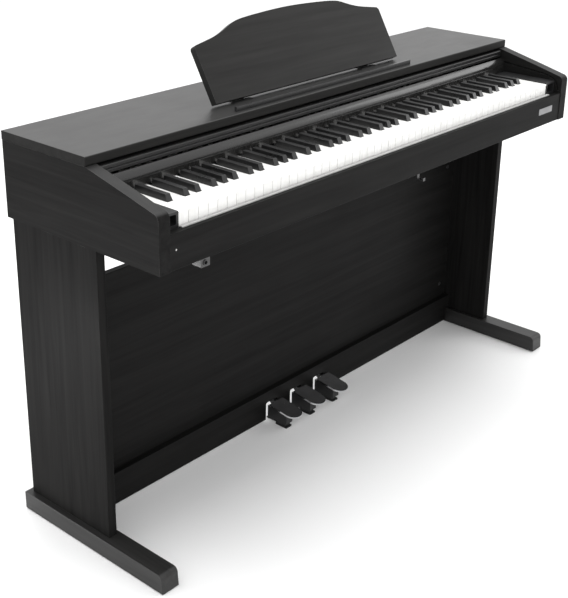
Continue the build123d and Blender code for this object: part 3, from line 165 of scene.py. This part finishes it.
def noise(tree, vector, scale, detail=4.0, roughness=0.55, distortion=0.0):
    made = add_node(
        tree, "ShaderNodeTexNoise", Scale=scale, Detail=detail, Roughness=roughness, Distortion=distortion
    )
    tree.links.new(vector, made.inputs["Vector"])
    return made.outputs["Fac"]


def ramp(tree, value, stops):
    made = add_node(tree, "ShaderNodeValToRGB")
    while len(made.color_ramp.elements) < len(stops):
        made.color_ramp.elements.new(0.5)
    for element, (position, colour) in zip(made.color_ramp.elements, stops):
        element.position = position
        element.color = (*colour, 1.0)
    tree.links.new(value, made.inputs["Fac"])
    return made.outputs["Color"]


def remap(tree, value, low, high, start=0.3, end=0.7):
    made = add_node(tree, "ShaderNodeMapRange")
    made.inputs["From Min"].default_value = start
    made.inputs["From Max"].default_value = end
    made.inputs["To Min"].default_value = low
    made.inputs["To Max"].default_value = high
    tree.links.new(value, made.inputs["Value"])
    return made.outputs["Result"]


def mix_colour(tree, factor, first, second):
    made = add_node(tree, "ShaderNodeMix", {"data_type": "RGBA"})
    for socket, value in ((made.inputs[0], factor), (made.inputs[6], first), (made.inputs[7], second)):
        if isinstance(value, bpy.types.NodeSocket):
            tree.links.new(value, socket)
        else:
            socket.default_value = (*value, 1.0)
    return made.outputs[2]


def bump(tree, shader, height, strength, distance):
    made = add_node(tree, "ShaderNodeBump", Strength=strength, Distance=distance)
    tree.links.new(height, made.inputs["Height"])
    tree.links.new(made.outputs["Normal"], shader.inputs["Normal"])
    if shader.inputs["Coat Weight"].default_value > 0:
        tree.links.new(made.outputs["Normal"], shader.inputs["Coat Normal"])


def edge_wear(tree, radius):
    """1 on sharp edges, 0 on flats, broken up by noise."""
    rounded = add_node(tree, "ShaderNodeBevel", {"samples": 4}, Radius=radius)
    flat = add_node(tree, "ShaderNodeNewGeometry")
    turn = add_node(tree, "ShaderNodeVectorMath", {"operation": "DOT_PRODUCT"})
    tree.links.new(rounded.outputs["Normal"], turn.inputs[0])
    tree.links.new(flat.outputs["Normal"], turn.inputs[1])
    edge = remap(tree, turn.outputs["Value"], 1.0, 0.0, 0.80, 0.99)
    patches = remap(tree, noise(tree, coordinates(tree), 35.0, 3.0), 0.0, 1.0, 0.42, 0.66)
    product = add_node(tree, "ShaderNodeMath", {"operation": "MULTIPLY"})
    tree.links.new(edge, product.inputs[0])
    tree.links.new(patches, product.inputs[1])
    return product.outputs["Value"]


def specular_by_tilt(tree, shader, upright, level):
    """Specular of a board whose level faces shine more than its matt upright ones."""
    normal = add_node(tree, "ShaderNodeNewGeometry").outputs["True Normal"]
    split = add_node(tree, "ShaderNodeSeparateXYZ")
    tree.links.new(normal, split.inputs["Vector"])
    shine = remap(tree, split.outputs["Z"], upright, level, 0.6, 0.85)
    tree.links.new(shine, shader.inputs["Specular IOR Level"])


# ------------------------------------------------------------------ materials
def veneer(name, along, foil, roughness, specular, level_specular=None):
    """Black wood-grain foil: long fibres, fine pores and slightly paler edges."""
    dark, light = foil
    middle = [0.5 * (a + b) for a, b in zip(dark, light)]
    mat, tree, shader = new_material(name, specular=specular)
    stretch = [75.0, 75.0, 75.0]
    stretch[along] = 2.6
    fibres = noise(tree, coordinates(tree, stretch), 1.0, 7.0, 0.62, 0.6)
    pore_stretch = [900.0, 900.0, 900.0]
    pore_stretch[along] = 38.0
    pores = noise(tree, coordinates(tree, pore_stretch), 1.0, 2.0)
    clouds = noise(tree, coordinates(tree), 3.2, 3.0)
    grain = ramp(tree, fibres, ((0.32, dark), (0.52, middle), (0.72, light)))
    worn = mix_colour(tree, edge_wear(tree, 0.0012), grain, [3.2 * c + 0.015 for c in light])
    tree.links.new(worn, shader.inputs["Base Color"])
    height = add_node(tree, "ShaderNodeMath", {"operation": "MULTIPLY_ADD"})
    tree.links.new(fibres, height.inputs[0])
    height.inputs[1].default_value = 0.6
    tree.links.new(pores, height.inputs[2])
    tree.links.new(remap(tree, clouds, *roughness), shader.inputs["Roughness"])
    if level_specular is not None:
        specular_by_tilt(tree, shader, specular, level_specular)
    bump(tree, shader, height.outputs["Value"], 0.22, 0.00025)
    return mat


def satin(name, base, roughness, coat=0.0, specular=0.5, band_specular=None):
    """Smooth black board with a faint grain and, where given, matt edge banding."""
    mat, tree, shader = new_material(name, coat=coat, coat_roughness=0.035, specular=specular)
    fibres = noise(tree, coordinates(tree, (3.0, 60.0, 60.0)), 1.0, 5.0, 0.6, 0.4)
    colour = ramp(tree, fibres, ((0.3, base), (0.7, [1.7 * c for c in base])))
    worn = mix_colour(tree, edge_wear(tree, 0.0009), colour, (0.09, 0.09, 0.09))
    tree.links.new(worn, shader.inputs["Base Color"])
    smears = noise(tree, coordinates(tree, (1.0, 2.2, 1.0)), 7.0, 6.0, 0.65)
    tree.links.new(remap(tree, smears, *roughness), shader.inputs["Roughness"])
    if band_specular is not None:
        specular_by_tilt(tree, shader, band_specular, specular)
    bump(tree, shader, noise(tree, coordinates(tree), 55.0, 2.0), 0.04, 0.0004)
    return mat


def moulded(name, base, roughness=(0.38, 0.5), texture=2600.0, depth=0.00008, specular=0.4, coat=0.0):
    """Moulded plastic: fine spark-eroded texture and paler rubbed edges."""
    mat, tree, shader = new_material(name, specular=specular, coat=coat)
    clouds = noise(tree, coordinates(tree), 14.0, 4.0)
    colour = ramp(tree, clouds, ((0.3, [0.85 * c for c in base]), (0.7, [1.15 * c for c in base])))
    worn = mix_colour(tree, edge_wear(tree, 0.0006), colour, [min(1.0, 2.5 * c + 0.02) for c in base])
    tree.links.new(worn, shader.inputs["Base Color"])
    tree.links.new(remap(tree, clouds, *roughness), shader.inputs["Roughness"])
    bump(tree, shader, noise(tree, coordinates(tree), texture, 2.0), 0.25, depth)
    return mat


def key_plastic(name):
    """White key tops: warm acrylic, faint drift from key to key, light finger polish."""
    mat, tree, shader = new_material(name, coat=0.35, coat_roughness=0.08, specular=0.45)
    drift = noise(tree, coordinates(tree, (42.5, 1.0, 1.0)), 1.0, 1.0)
    colour = ramp(tree, drift, ((0.3, (0.86, 0.855, 0.835)), (0.7, (0.92, 0.915, 0.90))))
    tree.links.new(colour, shader.inputs["Base Color"])
    polish = noise(tree, coordinates(tree, (60.0, 18.0, 1.0)), 1.0, 4.0)
    tree.links.new(remap(tree, polish, 0.22, 0.36), shader.inputs["Roughness"])
    bump(tree, shader, noise(tree, coordinates(tree, (1.0, 0.12, 1.0)), 1900.0, 2.0), 0.06, 0.0001)
    return mat


def metal(name, base, roughness, along=0, streak=900.0, depth=0.00003, strength=0.15):
    """Metal with a directional polish, small scratches and tarnish clouds."""
    mat, tree, shader = new_material(name, metallic=1.0)
    stretch = [streak, streak, streak]
    stretch[along] = streak / 45.0
    lines = noise(tree, coordinates(tree, stretch), 1.0, 4.0)
    clouds = noise(tree, coordinates(tree), 28.0, 4.0)
    colour = ramp(tree, clouds, ((0.3, [0.82 * c for c in base]), (0.65, base)))
    tree.links.new(colour, shader.inputs["Base Color"])
    tree.links.new(remap(tree, lines, *roughness), shader.inputs["Roughness"])
    bump(tree, shader, lines, strength, depth)
    return mat


def felt(name, base):
    """Pressed felt: tangled short fibres with a soft sheen."""
    mat, tree, shader = new_material(name, roughness=0.95, specular=0.2, sheen=0.5)
    fibres = noise(tree, coordinates(tree, (1.0, 1.4, 1.0)), 1500.0, 6.0, 0.7, 1.5)
    clouds = noise(tree, coordinates(tree), 60.0, 3.0)
    colour = ramp(tree, clouds, ((0.3, [0.82 * c for c in base]), (0.7, [1.12 * c for c in base])))
    speckled = mix_colour(tree, remap(tree, fibres, 0.0, 0.5, 0.45, 0.75), colour, [0.55 * c for c in base])
    tree.links.new(speckled, shader.inputs["Base Color"])
    bump(tree, shader, fibres, 0.6, 0.0004)
    return mat


def circuit(name):
    """Green solder mask with copper tracks showing through."""
    mat, tree, shader = new_material(name, roughness=0.3, coat=0.4)
    tracks = add_node(tree, "ShaderNodeTexBrick", Scale=60.0)
    tree.links.new(coordinates(tree), tracks.inputs["Vector"])
    for socket, colour in (
        ("Color1", (0.03, 0.2, 0.08)),
        ("Color2", (0.025, 0.16, 0.07)),
        ("Mortar", (0.12, 0.3, 0.1)),
    ):
        tracks.inputs[socket].default_value = (*colour, 1.0)
    tree.links.new(tracks.outputs["Color"], shader.inputs["Base Color"])
    bump(tree, shader, tracks.outputs["Fac"], 0.2, 0.0002)
    return mat


def build_materials():
    return {
        # Painted shade: the boards along x take the darker copy of the black foil.
        "painted_shade_veneer_x": veneer("black_veneer_along_x_painted_shade", 0, PAINTED_SHADE_FOIL, (0.5, 0.6), 0.08),
        "veneer_y": veneer("black_veneer_along_y", 1, BLACK_FOIL, (0.48, 0.58), 0.05, level_specular=0.3),
        "veneer_z": veneer("black_veneer_upright", 2, BLACK_FOIL, (0.42, 0.52), 0.03),
        # Painted light: the feet take the paler copy of the black foil.
        "painted_light_veneer_foot": veneer("black_veneer_foot", 1, PAINTED_LIGHT_FOIL, (0.36, 0.46), 0.36),
        "lid": satin("satin_lid", SATIN_BLACK, (0.36, 0.42), specular=0.42, band_specular=0.05),
        "rest": satin("satin_rest", SATIN_BLACK, (0.4, 0.48), specular=0.12),
        "cover": satin("satin_cover", (0.010, 0.0098, 0.0096), (0.2, 0.3), coat=0.3),
        "plastic": moulded("black_moulding", (0.014, 0.014, 0.0145)),
        "ridge": moulded("ridged_handle", (0.012, 0.012, 0.0122), (0.26, 0.36)),
        "white_key": key_plastic("white_key_tops"),
        "black_key": moulded("black_key_tops", (0.008, 0.008, 0.0082), (0.26, 0.36), 1700.0, 0.00005, 0.55),
        "chrome": metal("pedal_chrome", (0.86, 0.86, 0.88), (0.05, 0.14), 1, 700.0, 0.00002, 0.08),
        "steel": metal("zinc_steel", (0.58, 0.58, 0.6), (0.28, 0.45)),
        "black_steel": moulded("black_enamel", (0.012, 0.012, 0.012), (0.3, 0.42), 900.0, 0.00006, 0.5),
        "felt": felt("grey_felt", (0.36, 0.36, 0.355)),
        "cloth": felt("black_grille_cloth", (0.02, 0.02, 0.02)),
        "rubber": moulded("black_rubber", (0.02, 0.02, 0.02), (0.7, 0.85), 1400.0, 0.00015, 0.25),
        "plate": metal("satin_plate", (0.30, 0.30, 0.305), (0.35, 0.5), streak=1200.0),
        "gloss": moulded("glossy_black_moulding", (0.02, 0.02, 0.02), (0.12, 0.2), 900.0, 0.00003, 0.6),
        # Milky lens colour, made paler to paint in the lens's highlight.
        "lens": moulded("led_lens", (0.62, 0.60, 0.58), (0.12, 0.2), 500.0, 0.00002, 0.5, coat=0.5),
        "board": circuit("circuit_board"),
        "paper": moulded("speaker_paper", (0.03, 0.029, 0.028), (0.75, 0.9), 700.0, 0.0003, 0.2),
    }


def material_of_nodes():
    """Which finish each CAD node takes."""
    chosen = {
        "veneer_z": ("left_leg_panel", "right_leg_panel"),
        "veneer_y": ("left_cheek", "right_cheek"),
        # The feet take the paler foil copy, with painted light.
        "painted_light_veneer_foot": ("left_foot", "right_foot"),
        # These boards take the darker foil copy, with painted shade.
        "painted_shade_veneer_x": ("back_panel", "pedal_rail", "keybed_board", "cabinet_back", "key_slip"),
        "lid": ("top_lid",),
        "rest": ("music_rest",),
        "cover": ("key_cover", "fascia"),
        "ridge": ("cover_handle", "music_ledge"),
        "plastic": (
            "left_key_block",
            "right_key_block",
            "power_button",
            "volume_knob",
            "rear_jack_panel",
            "pedal_posts",
            "soft_pedal",
            "sostenuto_pedal",
            "damper_pedal",
        ),
        "chrome": ("soft_pedal_plate", "sostenuto_pedal_plate", "damper_pedal_plate"),
        "steel": ("pedal_pivot_rod", "pedal_springs", "stand_fixings", "key_frame", "cover_carriage"),
        "black_steel": ("rest_hinge_bases", "rest_hinge_arms"),
        "felt": ("key_slip_felt",),
        "rubber": ("foot_glides",),
        "plate": ("badge_plate",),
        "gloss": ("headphone_box", "headphone_hook"),
        "lens": ("power_led",),
        "board": ("circuit_boards",),
        "paper": ("speakers",),
    }
    table = {node: kind for kind, nodes in chosen.items() for node in nodes}
    for node in NODES:
        if node not in table:
            table[node] = "black_key" if "sharp" in node else "white_key"
    return table


def dress_nodes(materials):
    """Puts a finish on every CAD node and softens the edges of most of them."""
    for node, kind in material_of_nodes().items():
        obj = NODES[node]
        obj.data.materials.clear()
        obj.data.materials.append(materials[kind])
        if kind in EDGE_ROUNDING:
            soften = obj.modifiers.new("soft_edges", "BEVEL")
            soften.width = EDGE_ROUNDING[kind]
            soften.segments = 2
            soften.limit_method = "ANGLE"
            soften.angle_limit = EDGE_ANGLE


# ------------------------------------------------------------------ detail pieces
def finish_piece(name, fill, material, body):
    """Makes one named detail piece that rides a body; fill draws it in a bmesh."""
    mesh = bpy.data.meshes.new(name)
    work = bmesh.new()
    fill(work)
    bmesh.ops.recalc_face_normals(work, faces=work.faces)
    work.to_mesh(mesh)
    work.free()
    for polygon in mesh.polygons:
        polygon.use_smooth = True
    mesh.set_sharp_from_angle(angle=SMOOTH_ANGLE)
    piece = bpy.data.objects.new(name, mesh)
    bpy.context.scene.collection.objects.link(piece)
    mesh.materials.append(material)
    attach(piece, body)


def axis_frame(centre, axis):
    """Matrix that takes local Z to an axis at a centre."""
    turn = Vector((0, 0, 1)).rotation_difference(Vector(axis)).to_matrix().to_4x4()
    return Matrix.Translation(Vector(centre)) @ turn


def lathe(work, profile, matrix):
    """Turns a (radius, height) profile round local Z and closes an end that reaches the axis."""
    rings = []
    for radius, height in profile:
        ring = []
        for step in range(LATHE_STEPS):
            angle = 2 * math.pi * step / LATHE_STEPS
            point = matrix @ Vector((radius * math.cos(angle), radius * math.sin(angle), height))
            ring.append(work.verts.new(point))
        rings.append(ring)
    for low, high in zip(rings, rings[1:]):
        for step in range(LATHE_STEPS):
            after = (step + 1) % LATHE_STEPS
            work.faces.new((low[step], low[after], high[after], high[step]))
    for ring, (radius, _) in zip((rings[0], rings[-1]), (profile[0], profile[-1])):
        if radius < CLOSED_RADIUS:
            work.faces.new(ring)


def cross_recess(work, matrix, size, width, depth):
    """Star-shaped driver recess, drawn as a shallow dished cross."""
    half = width / 2
    outline = [
        (half, size), (half, half), (size, half), (size, -half), (half, -half), (half, -size),
        (-half, -size), (-half, -half), (-size, -half), (-size, half), (-half, half), (-half, size),
    ]
    rim = [work.verts.new(matrix @ Vector((x, y, RECESS_RISE))) for x, y in outline]
    centre = work.verts.new(matrix @ Vector((0, 0, RECESS_RISE - depth)))
    for index, vert in enumerate(rim):
        work.faces.new((vert, rim[(index + 1) % len(rim)], centre))


def dome(radius, height):
    """Profile of a low domed cap with a rounded rim."""
    profile = [(radius, 0.0), (radius, height * 0.35)]
    for step in range(1, DOME_STEPS + 1):
        angle = math.pi / 2 * step / DOME_STEPS
        profile.append((max(radius * math.cos(angle), 0.0002), height * (0.35 + 0.65 * math.sin(angle))))
    return profile


def collar(inner, outer, height):
    """Profile of a turned ring with a chamfered mouth."""
    return [
        (inner, -0.004),
        (inner, height * 0.7),
        (inner + 0.0003, height),
        (outer - 0.0004, height),
        (outer, height * 0.6),
        (outer, 0),
    ]


def panel_caps(materials):
    """Cover caps over the joining bolts on the front of the back panel."""
    low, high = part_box("back_panel")
    heights = (low[2] + CAP_INSET_Z, high[2] - CAP_INSET_Z)
    spots = [(side * (high[0] - CAP_INSET_X), low[1], z) for side in (-1, 1) for z in heights]

    def build(work):
        for spot in spots:
            lathe(work, dome(0.0055, 0.0012), axis_frame(spot, (0, -1, 0)))

    finish_piece("panel_bolt_caps", build, materials["plastic"], ROOT)


def screw_recesses(materials):
    """Driver recesses on the hinge screws of the music rest."""
    low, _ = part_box("rest_hinge_bases")
    _, lid_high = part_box("top_lid")
    head_top = lid_high[2] + HINGE_PLATE + HINGE_SCREW_HEAD

    def build(work):
        for x in (-HINGE_X, HINGE_X):
            for inset in HINGE_SCREW_Y:
                place = axis_frame((x, low[1] + inset, head_top), (0, 0, 1))
                cross_recess(work, place, size=0.0019, width=0.0007, depth=0.0004)

    finish_piece("hinge_screw_recesses", build, materials["black_steel"], ROOT)


def jack_ferrules(materials):
    """Turned bushes in the mouths of the headphone, line and power sockets."""
    box_low, box_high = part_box("headphone_box")
    headphone_x = (box_low[0] + box_high[0]) / 2
    _, jack_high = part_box("rear_jack_panel")

    def build(work):
        headphone = axis_frame((headphone_x, box_low[1], HEADPHONE_JACK_Z), (0, -1, 0))
        lathe(work, collar(0.00315, 0.0046, 0.0007), headphone)
        for x in LINE_OUT_X:
            line_out = axis_frame((x, jack_high[1], REAR_JACK_Z), (0, 1, 0))
            lathe(work, collar(0.00315, 0.0058, 0.0012), line_out)
        inlet = axis_frame((POWER_INLET_X, jack_high[1], REAR_JACK_Z), (0, 1, 0))
        lathe(work, collar(0.00275, 0.0048, 0.0010), inlet)

    finish_piece("jack_ferrules", build, materials["black_steel"], ROOT)


def led_bezel(materials):
    """Rounded ring on the slip, about the power light."""
    low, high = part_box("power_led")
    centre = ((low[0] + high[0]) / 2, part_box("key_slip")[0][1], (low[2] + high[2]) / 2)
    profile = [(0.00155, 0.0), (0.0016, 0.0004), (0.0021, 0.0005), (0.0025, 0.0002), (0.0026, 0.0)]

    def build(work):
        lathe(work, profile, axis_frame(centre, (0, -1, 0)))

    finish_piece("led_bezel", build, materials["plastic"], ROOT)


def rest_bumpers(materials):
    """Rubber bumpers on the back of the music rest."""
    up = Vector((0, math.sin(REST_TILT), math.cos(REST_TILT)))
    back = Vector((0, math.cos(REST_TILT), -math.sin(REST_TILT)))
    base = Vector(REST_HINGE) + back * REST_THICKNESS

    def build(work):
        for x in (-BUMPER_X, BUMPER_X):
            centre = base + up * BUMPER_HEIGHT + Vector((x, 0, 0))
            lathe(work, dome(0.006, 0.0022), axis_frame(centre, back))

    finish_piece("rest_bumpers", build, materials["rubber"], "music_rest")


def speaker_cloth(materials):
    """Woven cloth discs behind the slots in the keybed."""
    low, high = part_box("speakers")
    bed_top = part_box("keybed_board")[1][2]
    middle_y = (low[1] + high[1]) / 2
    profile = [(0.046, -0.0004), (0.046, 0.0), (0.03, -0.0003), (0.012, -0.0005), (0.0003, -0.0005)]

    def build(work):
        for x in (-SPEAKER_X, SPEAKER_X):
            lathe(work, profile, axis_frame((x, middle_y, bed_top - 0.0003), (0, 0, 1)))

    finish_piece("speaker_cloth", build, materials["cloth"], ROOT)


# ------------------------------------------------------------------ studio
def add_floor():
    mesh = bpy.data.meshes.new("studio_floor")
    work = bmesh.new()
    bmesh.ops.create_grid(work, x_segments=8, y_segments=8, size=FLOOR_SIZE)
    work.to_mesh(mesh)
    work.free()
    floor = bpy.data.objects.new("studio_floor", mesh)
    bpy.context.scene.collection.objects.link(floor)
    mat, tree, shader = new_material("pale_floor", roughness=0.6, specular=0.2)
    clouds = noise(tree, coordinates(tree), 1.4, 3.0)
    colour = ramp(tree, clouds, ((0.3, (0.93, 0.93, 0.93)), (0.7, (0.95, 0.95, 0.95))))
    tree.links.new(colour, shader.inputs["Base Color"])
    mesh.materials.append(mat)


def add_world():
    """Soft studio surround: a brighter wall behind the piano, dimmer towards the camera side."""
    world = bpy.data.worlds.new("studio")
    world.use_nodes = True
    bpy.context.scene.world = world
    tree = world.node_tree
    background = tree.nodes["Background"]
    background.inputs["Color"].default_value = (1.0, 1.0, 1.0, 1.0)
    source = add_node(tree, "ShaderNodeTexCoord")
    facing = add_node(tree, "ShaderNodeVectorMath", {"operation": "DOT_PRODUCT"})
    facing.inputs[1].default_value = WORLD_FACING
    tree.links.new(source.outputs["Generated"], facing.inputs[0])
    level = remap(tree, facing.outputs["Value"], WORLD_DIM, WORLD_BRIGHT, -0.2, 0.8)
    tree.links.new(level, background.inputs["Strength"])


def add_area(name, location, target, size, energy):
    data = bpy.data.lights.new(name, "AREA")
    data.shape = "RECTANGLE"
    data.size, data.size_y = size
    data.energy = energy
    light = bpy.data.objects.new(name, data)
    light.visible_camera = False
    light.location = location
    light.rotation_euler = (Vector(target) - Vector(location)).to_track_quat("-Z", "Y").to_euler()
    bpy.context.scene.collection.objects.link(light)


def add_studio():
    add_floor()
    add_world()
    for softbox in SOFTBOXES:
        add_area(*softbox)


def main():
    add_camera()
    materials = build_materials()
    dress_nodes(materials)
    for make in (panel_caps, screw_recesses, jack_ferrules, led_bezel, rest_bumpers, speaker_cloth):
        make(materials)
    add_studio()
    bpy.context.scene.view_settings.view_transform = "Standard"


main()
bpy.context.view_layer.update()
